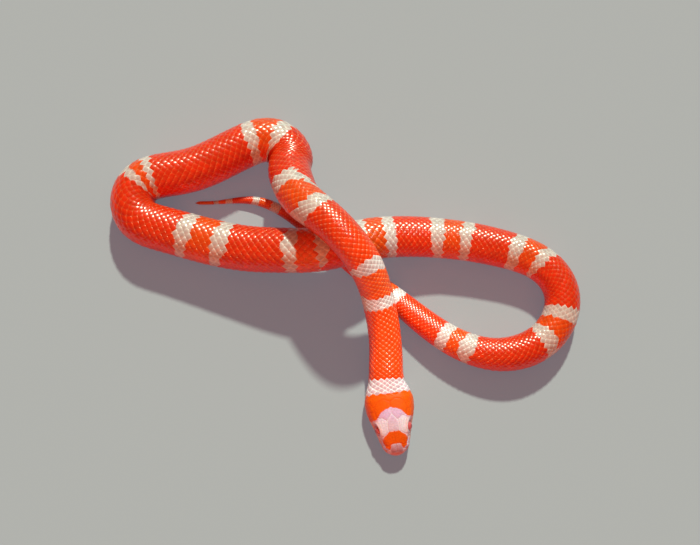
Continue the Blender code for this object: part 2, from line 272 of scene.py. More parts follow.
def body_section(s, angle):
    """Across and height of the body at a distance and an angle down from the mid back."""
    half = through(GIRTH, s) / 2.0
    half = half * np.sqrt(np.clip((SNAKE_LONG - s) / through(GIRTH, SNAKE_LONG), 0.0, 1.0))
    level = np.maximum(np.cos(angle), -BELLY_FLAT)
    return half * np.sin(angle), half * BODY_ROUND * (level + BELLY_FLAT)


def head_section(s, angle):
    """Distance, across and height of the head, with the lower jaw set back under the nose."""
    nose = np.sqrt(np.clip(1.0 - (1.0 - np.clip(s / NOSE_ROUND, 0.0, 1.0)) ** 2, 0.0, 1.0))
    half = through(HEAD_WIDE, s) / 2.0 * nose
    crown, chin, widest = (NOSE_HIGH + (through(level, s) - NOSE_HIGH) * nose
                           for level in (HEAD_CROWN, HEAD_CHIN, HEAD_WIDEST))
    sine, cosine = np.sin(angle), np.cos(angle)
    boxy = np.where(cosine > 0, HEAD_BOXY_TOP, HEAD_BOXY_CHIN)
    size = (np.abs(sine) ** boxy + np.abs(cosine) ** boxy) ** (-1.0 / boxy)
    across = half * size * sine
    height = widest + np.where(cosine > 0, crown - widest, widest - chin) * size * cosine
    turned = from_back(angle)
    for along, degrees, reach, spread, swell in HEAD_SWELLS:
        near = np.exp(-((s - along) / reach) ** 2 - ((turned - degrees) / spread) ** 2) * swell * nose
        across = across + near * sine
        height = height + near * cosine
    below = smooth_step((through(MOUTH_LINE, s) - height) / 0.8)
    return s + 0.7 * below * np.exp(-((s / 5.0) ** 2)), across, height


def section(s, angle):
    """The head's section, easing into the body's round one over the neck."""
    along, head_across, head_height = head_section(s, angle)
    body_across, body_height = body_section(s, angle)
    body = smooth_step((s - 17.0) / 11.0)
    across = head_across + (body_across - head_across) * body
    height = head_height + (body_height - head_height) * body
    return along, across, height


def on_snake(s, angle, lift):
    """World points that stand off the animal's surface by a lift, and the way out there."""
    s, angle, lift = np.broadcast_arrays(np.asarray(s, float), angle, lift)
    before, behind = np.maximum(s - 0.05, 0.0), np.minimum(s + 0.05, SNAKE_LONG)
    tailwards = place(*section(behind, angle)) - place(*section(before, angle))
    round_it = place(*section(s, angle + 0.02)) - place(*section(s, angle - 0.02))
    out = np.cross(tailwards, round_it)
    long = norm(out, axis=-1, keepdims=True)
    out = np.where(long > 1e-9, out / np.maximum(long, 1e-9), -axes_at(s)[0])
    return place(*section(s, angle)) + out * lift[..., None], out


# The colours of the animal. It is an amelanistic milk snake: wide red rings, narrow orange ones and
# clear white between them, with pale rims and tips on the scales where others have black.


def rgb(*shares):
    """A colour, or a change of one, as shares of red, green and blue."""
    return np.array(shares)


RED = rgb(0.76, 0.027, 0.000)
RED_RIM = rgb(0.84, 0.14, 0.035)
RED_TIP = rgb(0.88, 0.34, 0.20)
ORANGE = rgb(0.82, 0.066, 0.000)
ORANGE_RIM = rgb(0.88, 0.20, 0.05)
NECK_RED = rgb(0.84, 0.052, 0.000)
ORANGE_TIP = rgb(0.88, 0.30, 0.13)
WHITE = rgb(0.61, 0.47, 0.48)
WHITE_RIM = rgb(0.78, 0.72, 0.73)
NAPE = rgb(0.66, 0.46, 0.57)
NAPE_RIM = rgb(0.84, 0.83, 0.90)
CREAM = rgb(0.92, 0.76, 0.66)
RING_ORDER = ("white", "red", "white", "orange")
RINGS = [
    (16.2, 0.0, 0.0), (21.0, 0.0, 0.0), (43.7, -0.4, 0.1), (47.7, -1.2, 0.9), (55.8, -1.4, 0.8),
    (59.0, -1.3, -0.5), (71.0, -0.4, 0.8), (74.1, -0.9, 1.9), (81.2, -3.8, 1.6), (85.4, -5.8, 1.6),
    (104.5, 0.4, -0.5), (108.0, -0.6, 0.8), (112.0, 0.5, 0.4), (115.5, -0.8, 0.3), (142.6, 0.2, 0.2),
    (144.4, 0.3, 0.1), (146.8, -0.3, 0.4), (148.4, 0.2, -0.2), (170.1, 1.2, 1.4), (174.8, -0.8, 0.2),
    (181.4, 0.2, 1.1), (186.6, -1.9, -0.1), (202.2, 0.4, 0.8), (206.0, -0.7, -0.2), (210.3, 0.3, 0.6),
    (213.2, -1.5, 0.4), (218.0, 0.5, -0.4), (221.2, -0.4, 0.6), (225.7, 0.8, 0.8), (229.2, 0.6, 0.8),
    (240.8, 1.2, 0.2), (244.8, 0.2, 0.2), (249.8, 0.5, 0.7), (253.3, -0.3, 0.2), (263.8, 0.2, 1.0),
    (267.3, -0.3, 0.7), (271.3, 0.0, 1.5), (274.5, -1.0, 1.0), (288.0, 0.5, 0.0), (291.7, 0.8, -0.7),
    (296.0, 0.4, 1.5), (300.0, -0.5, 0.4), (318.6, -0.3, 0.4), (322.8, -1.5, -1.3), (326.2, -0.7, -0.2),
    (329.3, -0.8, -0.5), (343.2, -0.2, 0.8), (346.0, -0.5, 1.0), (350.0, 0.4, 0.3), (353.5, -0.3, 0.5),
    (366.0, 0.4, -0.3), (369.5, -0.2, 0.5), (373.0, 0.3, 0.2), (376.0, -0.4, 0.2), (385.3, 0.2, 0.3),
    (388.3, 0.1, -0.2), (391.8, 0.2, 0.1), (393.8, -0.2, 0.2), (399.5, 0.1, 0.1), (401.5, 0.0, 0.1),
    (403.5, 0.1, 0.0), (405.0, 0.0, 0.0),
]


def ring_at(s, angle):
    """Which ring a place lies in, as shares of red and of orange. The edges lean down each side."""
    starts, left, right = np.array(RINGS).T[..., None]
    down = np.clip(from_back(angle) / 60.0, 0.0, 1.6)
    lean = np.where((np.sin(angle) > 0.0)[None], right, left)
    lean = lean * (down * down * (1.6 - 0.6 * down))[None]
    passed = np.maximum((s[None] > starts + lean).sum(0) - 1, 0)
    kinds = np.array(RING_ORDER)[passed % len(RING_ORDER)]
    return (kinds == "red").astype(float), (kinds == "orange").astype(float)


def mixed(first, second, share):
    """Colours between two, by a share for each place."""
    return first + (second - first) * np.asarray(share)[..., None]


def painted_flank_shade(colour, angle, red):
    """Painted shade: colours darken and redden down both sides for the warm shade on the lower flanks,
    together with the thinner, pinker skin there.
    """
    low = smooth_step((from_back(angle) - 62.0) / 60.0)
    pink = colour * rgb(1.04, 0.42, 0.36)
    deep = colour * rgb(0.82, 0.26, 0.5)
    return mixed(colour, mixed(pink, deep, red), low)


# The skin. One closed skin covers the whole animal, head included. It lies under the scales by their
# thickness, and comes up to the surface on the head, where it carries the large shields.
SCALE_DEPTH = 0.15
HEAD_SIDES = 288
SHIELDS_END = 17.0


def side_at(s, across):
    """The angle at which the top of the head is so far across, at a distance from the snout."""
    turn = np.radians(np.linspace(0.0, 88.0, 177))
    _, reach, _ = section(np.full(len(turn), float(s)), turn)
    return float(np.interp(across, np.maximum.accumulate(reach), turn))


def side_low(s, height):
    """The angle at which the side of the head is so high, at a distance from the snout."""
    turn = np.radians(np.linspace(40.0, 150.0, 221))
    _, _, level = section(np.full(len(turn), float(s)), turn)
    return float(np.interp(-height, -np.minimum.accumulate(level), turn))


def suture(places, spacing=0.05):
    """Points along a line on the head. A place is (distance, "x" or "z" or "deg", value)."""
    stops = []
    for along, kind, value in places:
        turn = {"x": side_at, "z": side_low}[kind](along, value) if kind != "deg" else math.radians(value)
        stops.append((along, turn))
    stops = np.array(stops)
    fine = []
    for (s0, a0), (s1, a1) in zip(stops, stops[1:]):
        steps = max(2, int(math.hypot(s1 - s0, (a1 - a0) * 5.0) / spacing))
        t = np.linspace(0.0, 1.0, steps)
        fine.append(np.stack([s0 + (s1 - s0) * t, a0 + (a1 - a0) * t], 1))
    fine = np.vstack(fine)
    both = np.vstack([fine, fine * (1.0, -1.0)])
    return place(*section(both[:, 0], both[:, 1]))


LABIAL_TOPS = [
    (0.9, 2.95), (2.9, 3.0), (4.8, 2.9), (6.0, 2.6), (8.8, 2.75), (10.2, 3.6), (12.2, 4.2), (14.8, 4.5),
]
LABIAL_FOOTS = [(0.9, 1.0), (3.0, 0.72), (6.0, 0.6), (10.0, 0.7), (13.4, 1.2), (14.8, 2.2)]
SUTURES = [
    [(1.05, "x", 0.0), (0.95, "x", 0.9), (0.75, "x", 1.5), (0.62, "deg", 62.0), (0.62, "deg", 100.0)],
    [(1.05, "x", 0.0), (6.5, "x", 0.0)],
    [(3.1, "x", 0.0), (3.05, "x", 1.35), (2.75, "x", 1.9)],
    [(0.75, "x", 1.5), (1.7, "x", 1.85), (2.75, "x", 1.9), (2.9, "z", 3.0)],
    [(1.65, "x", 1.85), (1.65, "z", 2.95)],
    [(2.8, "x", 2.3), (3.3, "x", 3.3), (4.6, "x", 3.75), (5.3, "x", 3.65)],
    [(4.7, "x", 3.75), (4.75, "z", 2.9)],
    [(6.5, "x", 0.0), (6.45, "x", 1.5), (5.8, "x", 2.3), (5.3, "x", 3.0), (5.3, "x", 3.65),
     (5.7, "z", 2.8)],
    [(6.45, "x", 1.5), (7.6, "x", 1.62), (9.3, "x", 1.45), (11.1, "x", 0.0)],
    [(9.3, "x", 1.45), (10.3, "x", 2.7), (10.1, "x", 3.6), (9.4, "x", 4.2)],
    [(11.1, "x", 0.0), (14.4, "x", 0.0)],
    [(10.2, "x", 3.2), (10.8, "x", 4.2), (12.6, "x", 4.5), (14.2, "x", 3.9), (15.0, "x", 2.8),
     (15.3, "x", 1.5), (14.4, "x", 0.0)],
    [(9.4, "x", 4.2), (9.9, "z", 4.4), (9.6, "z", 3.2)],
    [(8.9, "z", 3.85), (9.95, "z", 3.95)],
    [(9.95, "z", 4.3), (12.1, "z", 4.95), (14.6, "z", 5.6)],
    [(12.1, "x", 4.5), (12.2, "z", 4.9), (11.9, "z", 4.1)],
    [(13.2, "x", 4.4), (14.7, "z", 5.9), (15.0, "z", 4.5)],
    [(along, "z", high) for along, high in LABIAL_TOPS],
    [(along, "z", high) for along, high in LABIAL_FOOTS],
    [(1.4, "deg", 180.0), (9.2, "deg", 180.0)],
    [(1.2, "deg", 135.0), (2.2, "deg", 160.0), (5.4, "deg", 157.0), (8.6, "deg", 163.0),
     (9.2, "deg", 180.0)],
    [(5.4, "deg", 157.0), (5.8, "deg", 180.0)],
]
for lip_at in (1.7, 3.3, 5.0, 6.8, 8.8, 11.0, 13.1):
    lip_line = float(through(MOUTH_LINE, lip_at))
    top_line = float(through(LABIAL_TOPS, lip_at + 0.2))
    foot_line = float(through(LABIAL_FOOTS, lip_at - 0.3))
    SUTURES.append([(lip_at, "z", lip_line), (lip_at + 0.2, "z", top_line)])
    SUTURES.append([(lip_at - 0.4, "z", lip_line - 0.1), (lip_at - 0.3, "z", foot_line)])


def nearest(points, lines):
    """How far each point is from the nearest of many points."""
    tree = KDTree(len(lines))
    for number, point in enumerate(lines):
        tree.insert(point, number)
    tree.balance()
    return np.array([tree.find(point)[2] for point in points])


EYE_AT = (7.4, 3.7, 3.95)
EYE_RADIUS = 1.45
EYE_OPENING = math.radians(62.0)
EYE_LOOKS = (-0.16, 0.90, 0.36)
NOSTRIL_AT = (1.6, 2.95, 3.35)


def frame_at(along, across, height):
    """A place on the head with its axes to the tail, right and back."""
    return place(np.array(along), np.array(across), np.array(height)), axes_at(np.array(along))


def eye_place(flank):
    """The middle of the eye on a flank, -1 left or 1 right, the way it looks and the way to the tail."""
    middle, (tail_way, right_way, up_way) = frame_at(EYE_AT[0], flank * EYE_AT[1], EYE_AT[2])
    looks = tail_way * EYE_LOOKS[0] + right_way * EYE_LOOKS[1] * flank + up_way * EYE_LOOKS[2]
    return middle, looks / norm(looks), tail_way


def inside_shape(corners, s, across):
    """How far inside a closed outline of (distance, across) each place is, below 0 outside it."""
    ring = np.array(corners, float)
    nearest_edge = np.full(s.shape, 1e9)
    inside = np.zeros(s.shape, bool)
    for (s0, x0), (s1, x1) in zip(ring, np.roll(ring, -1, 0)):
        run = (s1 - s0) ** 2 + (x1 - x0) ** 2
        t = np.clip(((s - s0) * (s1 - s0) + (across - x0) * (x1 - x0)) / run, 0.0, 1.0)
        off = np.hypot(s - s0 - t * (s1 - s0), across - x0 - t * (x1 - x0))
        nearest_edge = np.minimum(nearest_edge, off)
        if s0 != s1:
            crosses = (s0 > s) != (s1 > s)
            inside ^= crosses & (across < (x1 - x0) * (s - s0) / (s1 - s0) + x0)
    return np.where(inside, nearest_edge, -nearest_edge)


SNOUT_PATCH = [
    (3.2, -0.2), (3.2, 0.0), (3.0, 1.4), (2.3, 1.5), (1.8, 1.8), (1.8, 2.1), (2.5, 2.9), (3.5, 3.3),
    (4.5, 3.5), (5.2, 2.9), (5.8, 2.2), (6.45, 1.5), (6.5, 0.0), (6.5, -0.2),
]
SUPRAOCULAR = [
    (5.5, 2.9), (6.5, 1.7), (7.6, 1.75), (9.2, 1.6), (10.1, 2.7), (9.9, 3.6), (9.0, 4.6), (7.4, 5.2),
    (6.0, 4.6),
]
BAND_FRONT = [(0.0, 12.9), (2.5, 12.0), (2.8, 11.7), (3.7, 10.6), (4.3, 10.1), (5.2, 9.9), (7.0, 10.2)]
BAND_REAR = [(0.0, 16.7), (1.3, 16.7), (3.4, 17.2), (5.8, 17.1), (7.0, 16.8)]
HEAD_ORANGE = rgb(0.84, 0.105, 0.001)
LAVENDER = rgb(0.70, 0.47, 0.74)
FRONTAL_PINK = rgb(0.74, 0.58, 0.76)
BROW_WHITE = rgb(0.84, 0.80, 0.96)
SNOUT_MAUVE = rgb(0.58, 0.33, 0.45)
LIP_SALMON = rgb(0.80, 0.30, 0.24)
CHIN_PINK = rgb(0.88, 0.56, 0.48)
MOUTH_SHADE = rgb(0.42, 0.07, 0.06)


def head_colours(s, angle, to_suture):
    """The head's paint: an orange patch on the snout, lavender shields, an orange band, pink lips."""
    _, across, height = section(s, angle)
    x = np.abs(across)
    waver = 0.10 * np.sin(x * 5.1 + s * 2.3) + 0.07 * np.sin(x * 11.0 - s * 3.7)
    upper = mixed(LAVENDER, FRONTAL_PINK, smooth_step((11.0 - s) / 3.0) * smooth_step((2.4 - x) / 0.8))
    brow = smooth_step((inside_shape(SUPRAOCULAR, s, x) + 0.15) / 0.5)
    streaks = 0.5 + 0.5 * np.sin(x * 8.0 + 1.5 * np.sin(s * 1.1))
    upper = mixed(upper, BROW_WHITE, brow * (0.62 + 0.38 * streaks))
    seam = np.exp(-((to_suture / 0.16) ** 2))
    midline = smooth_step((s - 11.2) / 0.4) * smooth_step((0.6 - x) / 0.3)
    upper = mixed(upper, BROW_WHITE, seam * (0.75 - 0.6 * midline))
    sides = mixed(LIP_SALMON, CHIN_PINK, smooth_step((s - 1.0) / 9.0) * 0.5)
    sides = mixed(sides, CHIN_PINK, smooth_step((1.7 - height) / 0.8))
    high = through(HEAD_CROWN, s)
    upward = smooth_step((height - (0.46 * high + 0.55)) / 0.9)
    colour = mixed(sides, upper, upward)
    snout = smooth_step((3.3 - s) / 0.5) * smooth_step((1.75 - x) / 0.3) * upward
    colour = mixed(colour, SNOUT_MAUVE, snout)
    rostral = smooth_step((0.95 - s) / 0.3)
    colour = mixed(colour, LIP_SALMON * rgb(0.95, 0.9, 1.1), rostral * 0.8)
    patch = inside_shape(SNOUT_PATCH, s, x)
    patch = smooth_step((patch + waver * 0.5 + 0.07) / 0.14) * smooth_step((height - 0.52 * high) / 0.3)
    front_edge = through(BAND_FRONT, x) + smooth_step((3.4 - height) / 2.2) * 2.6
    rear_edge = through(BAND_REAR, x)
    band = smooth_step((s - front_edge + waver * 0.6) / 0.16 + 0.5)
    band = band * smooth_step((rear_edge - s) / 0.16 + 0.5)
    orange = np.maximum(patch, band)
    low = smooth_step((2.5 - height) / 1.6)
    paint = mixed(HEAD_ORANGE, HEAD_ORANGE * rgb(0.95, 0.72, 1.0), seam * 0.6)
    paint = mixed(paint, LIP_SALMON, low * 0.75)
    colour = mixed(colour, paint, orange)
    return mixed(colour, (NAPE + NAPE_RIM) / 2.0, smooth_step((s - rear_edge) / 0.2))


def skin_rings():
    """Where the skin's rings stand, each with its number of sides."""
    turn = np.linspace(0.0, math.pi / 2.0, 37)[1:]
    rings = [(at, HEAD_SIDES) for at in NOSE_ROUND * (1.0 - np.cos(turn))]
    rings += [(at, HEAD_SIDES) for at in np.arange(NOSE_ROUND + 0.13, 17.4, 0.13)]
    rings += [(at, HEAD_SIDES // 2) for at in np.arange(17.6, 24.0, 0.25)]
    rings += [(at, HEAD_SIDES // 4) for at in np.arange(24.5, SNAKE_LONG - 1.0, 0.95)]
    rings += [(at, HEAD_SIDES // 4) for at in np.linspace(SNAKE_LONG - 0.9, SNAKE_LONG - 0.02, 9)]
    return rings


rings = skin_rings()
ring_s = np.concatenate([np.full(sides, at) for at, sides in rings])
ring_angle = np.concatenate([(np.arange(sides) + 0.5) * 2.0 * math.pi / sides for _, sides in rings])
first_of = np.concatenate([[0], np.cumsum([sides for _, sides in rings])])
bare = smooth_step((SHIELDS_END - ring_s) / 2.0)
points, outward = on_snake(ring_s, ring_angle, -SCALE_DEPTH * (1.0 - bare))
on_head = ring_s < SHIELDS_END + 3.0
head_points = points[on_head]
suture_points = np.vstack([suture(line) for line in SUTURES])
to_suture = np.full(len(points), 9.0)
to_suture[on_head] = nearest(head_points, suture_points)
mouth_places = [(along, "z", float(through(MOUTH_LINE, along))) for along in np.arange(0.3, 14.4, 0.3)]
lips = suture(mouth_places)
lip_ends = lips[0], lips[len(lips) // 2]
front_lip = lip_ends[0] + (lip_ends[1] - lip_ends[0]) * np.linspace(0.0, 1.0, 60)[:, None]
to_mouth = np.full(len(points), 9.0)
to_mouth[on_head] = nearest(head_points, np.vstack([lips, front_lip]))

GROOVE_DEEP = 0.065
GROOVE_WIDE = 0.14
PILLOW = 0.05
MOUTH_DEEP = 0.30
MOUTH_WIDE = 0.17
relief = -GROOVE_DEEP * np.exp(-((to_suture / GROOVE_WIDE) ** 2)) - PILLOW * np.exp(-to_suture / 0.6)
relief = relief * bare * (1.0 - 0.5 * smooth_step((ring_s - 11.5) / 1.5))
relief -= MOUTH_DEEP * np.exp(-((to_mouth / MOUTH_WIDE) ** 2)) * bare
points = points + outward * relief[:, None]
colours = np.zeros((len(points), 3))
red, orange = ring_at(ring_s, ring_angle)
under = (np.abs(np.degrees(ring_angle) - 180.0) < 48.0) * 0.6
colours = mixed(mixed(mixed(WHITE_RIM * 0.9, RED_RIM, red), ORANGE_RIM, orange), CREAM, under)
# Painted shade: the skin darkens and reddens down both sides.
colours = painted_flank_shade(colours, ring_angle, red + orange)
painted = head_colours(ring_s, ring_angle, to_suture)
colours = mixed(colours, painted, smooth_step((17.2 - ring_s) / 0.4))
colours = mixed(colours, MOUTH_SHADE, np.exp(-((to_mouth / 0.13) ** 2)) * 0.8 * bare)

for flank in (-1.0, 1.0):
    middle, looks, _ = eye_place(flank)
    away = points - middle
    reach = norm(away, axis=1)
    turned = np.arccos(np.clip(away @ looks / np.maximum(reach, 1e-9), -1.0, 1.0))
    near = reach < 3.2
    opened = near * (1.0 - smooth_step((turned - EYE_OPENING + 0.09) / 0.14))
    rim = near * np.exp(-(((turned - EYE_OPENING - 0.20) / 0.17) ** 2))
    wanted = np.where(rim > 0.0, np.maximum(reach, EYE_RADIUS + 0.08), reach)
    target = reach + (wanted - reach) * rim
    target = target + (EYE_RADIUS - 0.16 - target) * opened
    points = middle + away / np.maximum(reach, 1e-9)[:, None] * target[:, None]
    colours = mixed(colours, rgb(0.60, 0.14, 0.15), opened)
    colours = mixed(colours, rgb(0.86, 0.50, 0.46), rim * 0.5)
    hole, _ = frame_at(NOSTRIL_AT[0], flank * NOSTRIL_AT[1], NOSTRIL_AT[2])
    off = norm(points - hole, axis=1)
    pit = np.exp(-((off / 0.42) ** 2))
    points = points - outward * (0.55 * pit)[:, None]
    # The pit is painted dark: painted shade inside the nostril's hollow.
    colours = mixed(colours, rgb(0.30, 0.05, 0.05), smooth_step(pit * 1.6 - 0.5))

nose_tip = place(np.array(0.0), np.array(0.0), np.array(NOSE_HIGH))
tail_tip = place(np.array(SNAKE_LONG), np.array(0.0), np.array(0.0))
all_points = np.vstack([points, nose_tip[None], tail_tip[None]])
faces = []
for number in range(len(rings) - 1):
    sides, next_sides = rings[number][1], rings[number + 1][1]
    a, b = first_of[number], first_of[number + 1]
    if sides == next_sides:
        for i in range(sides):
            j = (i + 1) % sides
            faces.append((a + i, b + i, b + j, a + j))
    else:
        for i in range(next_sides):
            j = (i + 1) % next_sides
            faces.append((a + 2 * i, b + i, a + 2 * i + 1))
            faces.append((a + 2 * i + 1, b + i, b + j, a + (2 * i + 2) % sides))
nose_number, tail_number = len(points), len(points) + 1
for i in range(HEAD_SIDES):
    faces.append((nose_number, first_of[0] + i, first_of[0] + (i + 1) % HEAD_SIDES))
last_sides = rings[-1][1]
for i in range(last_sides):
    faces.append((tail_number, first_of[-2] + (i + 1) % last_sides, first_of[-2] + i))


def paint(mesh, colour):
    """Stores each point's colour on the mesh, as the attribute that the finishes read."""
    markings = mesh.attributes.new("markings", "FLOAT_COLOR", "POINT")
    whole = np.ones((len(mesh.vertices), 4), np.float32)
    whole[:, :3] = np.clip(colour, 0.0, 1.0)
    markings.data.foreach_set("color", whole.ravel())


def bake_map(mesh, u, v, wraps=True):
    """A map of the piece on the unrolled skin. Faces over the belly's seam aren't stretched, and a
    tip, which has no v of its own, takes that of the two corners after it."""
    layer = mesh.uv_layers.new(name="OFBake")
    corners = np.zeros(len(mesh.loops), np.int32)
    mesh.loops.foreach_get("vertex_index", corners)
    starts = np.zeros(len(mesh.polygons), np.int32)
    mesh.polygons.foreach_get("loop_start", starts)
    uv = np.stack([u[corners], v[corners]], 1)
    if wraps:
        face_of = np.repeat(np.arange(len(starts)), np.diff(np.append(starts, len(corners))))
        high = np.fmax.reduceat(uv[:, 1], starts)[face_of]
        low = np.fmin.reduceat(uv[:, 1], starts)[face_of]
        uv[:, 1] += ((high - low > 0.5) & (uv[:, 1] < 0.5)) * 1.0
        tips = np.flatnonzero(np.isnan(uv[:, 1]))
        uv[tips, 1] = (uv[tips + 1, 1] + uv[tips + 2, 1]) / 2.0
        uv[:, 1] = 0.004 + uv[:, 1] * 0.98
    layer.data.foreach_set("uv", uv.astype(np.float32).ravel())


GRAIN_HIGH = 0.00003


def finish_material(name, roughness, mottle, grain, bump, glow):
    """Skin paint: the markings, a soft mottle in their tone, a fine grain and an uneven gloss."""
    made = bpy.data.materials.new(name)
    made.use_nodes = True
    nodes, links = made.node_tree.nodes, made.node_tree.links

    def noise(scale, detail):
        """A noise over the piece's own coordinates."""
        cloud = nodes.new("ShaderNodeTexNoise")
        set_inputs(cloud, {"Scale": scale, "Detail": detail})
        links.new(where.outputs["Object"], cloud.inputs["Vector"])
        return cloud.outputs["Fac"]

    def spread(value, lowest, highest, low, high):
        """A value's range laid over another."""
        ranged = nodes.new("ShaderNodeMapRange")
        set_inputs(ranged, {"From Min": lowest, "From Max": highest, "To Min": low, "To Max": high})
        links.new(value, ranged.inputs["Value"])
        return ranged.outputs["Result"]

    shader = nodes["Principled BSDF"]
    set_inputs(shader, {"IOR": 1.45, "Subsurface Weight": glow, "Subsurface Radius": (1.0, 0.25, 0.12),
                        "Subsurface Scale": 0.0010})
    markings = nodes.new("ShaderNodeAttribute")
    markings.attribute_name = "markings"
    where = nodes.new("ShaderNodeTexCoord")
    toned = nodes.new("ShaderNodeVectorMath")
    toned.operation = "SCALE"
    links.new(markings.outputs["Color"], toned.inputs[0])
    links.new(spread(noise(mottle, 3.0), 0.3, 0.7, 0.86, 1.10), toned.inputs["Scale"])
    links.new(toned.outputs["Vector"], shader.inputs["Base Color"])
    fine = noise(grain, 2.0)
    links.new(spread(fine, 0.0, 1.0, roughness - 0.07, roughness + 0.09), shader.inputs["Roughness"])
    if bump > 0.0:
        raised = nodes.new("ShaderNodeBump")
        set_inputs(raised, {"Strength": bump, "Distance": GRAIN_HIGH})
        links.new(fine, raised.inputs["Height"])
        links.new(raised.outputs["Normal"], shader.inputs["Normal"])
    return made


skin_mesh = bpy.data.meshes.new("skin")
skin_mesh.from_pydata((all_points * MM).tolist(), [], faces)
skin_mesh.shade_smooth()
all_s = np.concatenate([ring_s, [0.0, SNAKE_LONG]])
all_angle = np.concatenate([ring_angle, [math.pi, math.pi]])
paint(skin_mesh, np.vstack([colours, LIP_SALMON[None], RED_RIM[None]]))
HEAD_ENDS = 24.0
HEAD_SHARE = 0.6
body_u = HEAD_SHARE + (all_s - HEAD_ENDS) / (SNAKE_LONG - HEAD_ENDS) * (1.0 - HEAD_SHARE)
skin_u = np.where(all_s < HEAD_ENDS, all_s / HEAD_ENDS * HEAD_SHARE, body_u)
skin_v = (all_angle / (2.0 * math.pi) + 0.5) % 1.0
skin_v[-2:] = math.nan
bake_map(skin_mesh, skin_u, skin_v)
skin_mesh.materials.append(finish_material("head shields and skin", 0.34, 2400.0, 9000.0, 0.12, 0.08))
skin = add_object("skin", skin_mesh)
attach(skin, "root")
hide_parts("head", "lower_jaw", "neck", "tail", *["body_%d" % number for number in range(1, 10)])

# The eyes. Each is a glass-smooth ball under a clear fixed scale, with a round pupil. Without dark
# pigment the iris is crimson and the pupil a deeper red.
EYE_SEGMENTS = 64
EYE_RINGS = 40
IRIS = rgb(0.68, 0.11, 0.125)
IRIS_EDGE = rgb(0.50, 0.07, 0.08)
PUPIL = rgb(0.34, 0.010, 0.022)
for side, flank in (("left", -1.0), ("right", 1.0)):
    middle, looks, tail_way = eye_place(flank)
    over = np.cross(looks, tail_way)
    over = over / norm(over)
    beside = np.cross(over, looks)
    turned = np.repeat(np.linspace(0.0, math.pi, EYE_RINGS + 1)[1:-1], EYE_SEGMENTS)
    round_it = np.tile(np.arange(EYE_SEGMENTS) * 2.0 * math.pi / EYE_SEGMENTS, EYE_RINGS - 1)
    ball = looks * np.cos(turned)[:, None]
    spoke = over * np.cos(round_it)[:, None] + beside * np.sin(round_it)[:, None]
    ball = ball + spoke * np.sin(turned)[:, None]
    ball = np.vstack([ball, looks[None], -looks[None]]) * EYE_RADIUS + middle
    eye_faces = []
    for ring in range(EYE_RINGS - 2):
        for i in range(EYE_SEGMENTS):
            j = (i + 1) % EYE_SEGMENTS
            a, b = ring * EYE_SEGMENTS, (ring + 1) * EYE_SEGMENTS
            eye_faces.append((a + i, a + j, b + j, b + i))
    front, back = len(ball) - 2, len(ball) - 1
    last = (EYE_RINGS - 2) * EYE_SEGMENTS
    for i in range(EYE_SEGMENTS):
        j = (i + 1) % EYE_SEGMENTS
        eye_faces.append((front, j, i))
        eye_faces.append((back, last + i, last + j))
    eye_mesh = bpy.data.meshes.new("fine_eye_" + side)
    eye_mesh.from_pydata((ball * MM).tolist(), [], eye_faces)
    eye_mesh.shade_smooth()
    turned = np.concatenate([turned, [0.0, math.pi]])
    round_it = np.concatenate([round_it, [0.0, 0.0]])
    pupil = 1.0 - smooth_step((np.degrees(turned) - 21.0) / 3.0)
    iris = 1.0 - smooth_step((np.degrees(turned) - 55.0) / 10.0)
    fibres = 0.5 + 0.5 * np.sin(round_it * 23.0 + 2.0 * np.sin(turned * 9.0))
    eye_colour = mixed(IRIS_EDGE, IRIS, iris * (0.6 + 0.4 * fibres))
    eye_colour = mixed(eye_colour, PUPIL, pupil)
    paint(eye_mesh, eye_colour)
    eye_finish = finish_material("wet eye " + side, 0.10, 1500.0, 6000.0, 0.02, 0.0)
    eye_shader = eye_finish.node_tree.nodes["Principled BSDF"]
    set_inputs(eye_shader, {"Coat Weight": 1.0, "Coat Roughness": 0.03})
    eye_mesh.materials.append(eye_finish)
    eye = add_object("fine_eye_" + side, eye_mesh)
    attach(eye, "root")
    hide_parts("eye_" + side)

# The scales of the back and sides. Each is a smooth, thin horny plate, rounded behind, whose front
# lies under the two before it. They stand in 21 slanting rows that thin out to five on the tail.
PITCHES = [
    (13.0, 1.2), (18.0, 1.32), (20.5, 1.42), (24.0, 1.62), (30.0, 1.72), (40.0, 1.72), (48.0, 1.5),
    (57.0, 1.15), (64.0, 1.02), (70.0, 1.15), (76.0, 1.5), (84.0, 1.85), (92.0, 2.02), (100.0, 1.9),
    (150.0, 1.87), (165.0, 1.92), (177.0, 2.05), (195.0, 2.05), (205.0, 1.95), (230.0, 1.87),
    (240.0, 1.83), (256.0, 1.68), (262.0, 1.6), (280.0, 1.5), (290.0, 1.55), (305.0, 1.67),
    (316.0, 1.67), (325.0, 1.4), (333.0, 1.21), (345.0, 1.12), (372.0, 0.95), (390.0, 0.75),
    (408.0, 0.6),
]
ROW_ANGLES = np.array([0.0, 11.1, 22.2, 33.4, 44.7, 56.4, 68.6, 81.4, 95.2, 110.0, 126.0, 143.0])
ROW_ENDS = {8: 318.0, 9: 318.0, 6: 350.0, 7: 350.0, 4: 371.0, 5: 371.0, 2: 391.0, 3: 391.0}
ROWS = len(ROW_ANGLES)
ROW_FADE = 6.0
SCALES_BEGIN = [
    (0.0, 14.6), (12.0, 15.4), (25.0, 15.2), (38.0, 14.4), (50.0, 14.7), (65.0, 15.0), (95.0, 14.9),
    (108.0, 14.6), (120.0, 13.0), (143.0, 11.0),
]
SCALES_END = 405.5
fine_s = np.arange(8.0, SNAKE_LONG, 0.05)
fine_count = np.concatenate([[0.0], np.cumsum(0.05 / through(PITCHES, fine_s[:-1] + 0.025))])


def distance_of(count):
    """The distance from the snout at a count of scales."""
    return np.interp(count, fine_count, fine_s)


def count_of(s):
    return np.interp(s, fine_s, fine_count)


def row_share(row, s):
    """How much of its full width a row still has: rows narrow to nothing where they end."""
    if row not in ROW_ENDS:
        return np.ones_like(s)
    return 1.0 - smooth_step((s - ROW_ENDS[row]) / ROW_FADE + 0.5)


